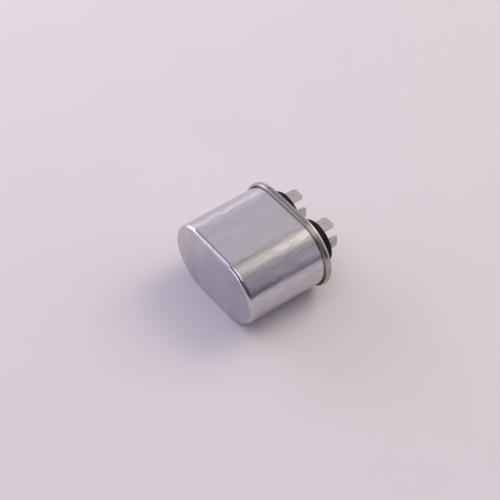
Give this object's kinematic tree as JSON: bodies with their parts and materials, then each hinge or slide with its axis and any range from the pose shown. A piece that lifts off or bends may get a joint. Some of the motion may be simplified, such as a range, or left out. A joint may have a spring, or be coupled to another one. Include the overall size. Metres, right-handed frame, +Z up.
{
  "type": "motor run capacitor",
  "caption": "Oval drawn can with a double seamed cover and insulated blade terminals; a film capacitor that stays in circuit with a motor's auxiliary winding.",
  "frame": {"origin": "on the ground under the middle of the capacitor as it lies on its side", "axes": "+X along the long side of the oval, +Y up the can towards the terminals, +Z up, square to the can's flat side"},
  "size_m": [0.0562, 0.054, 0.0348],
  "materials": {
    "can_aluminium": "satin drawn, fine lines along the can",
    "tinned_steel": "tin plated, softly shining",
    "sealing_compound": "matte",
    "brown_laminate": "matte paper laminate",
    "pressboard": "matte pressboard",
    "metallised_film": "rolled metallised film",
    "clear_film": "glossy clear film",
    "sprayed_zinc": "rough sprayed metal",
    "insulating_sleeve": "varnished fabric sleeve",
    "tinned_copper": "tinned",
    "solder": "smooth solder",
    "black_phenolic": "moulded, faint shine",
    "gasket_rubber": "matte",
    "tinned_brass": "dull tin plate",
    "tinned_rivet": "dull tin plate"
  },
  "bodies": {
    "root": {"can": "can_aluminium", "cover": "tinned_steel", "seam_compound": "sealing_compound", "interrupter_plate": "brown_laminate", "upper_ring": "pressboard", "lower_ring": "pressboard", "winding": "metallised_film", "outer_wrap": "clear_film", "lower_end_spray": "sprayed_zinc", "upper_end_spray": "sprayed_zinc", "liner": "pressboard", "lead_sleeve": "insulating_sleeve", "left_lead": "tinned_copper", "right_lead": "tinned_copper", "left_joint": "solder", "right_joint": "solder", "left_cup": "black_phenolic", "left_gasket": "gasket_rubber", "left_terminal": "tinned_brass", "left_rivet": "tinned_rivet", "left_bush": "brown_laminate", "left_lug": "tinned_brass", "right_cup": "black_phenolic", "right_gasket": "gasket_rubber", "right_terminal": "tinned_brass", "right_rivet": "tinned_rivet", "right_bush": "brown_laminate", "right_lug": "tinned_brass"}
  },
  "joints": []
}
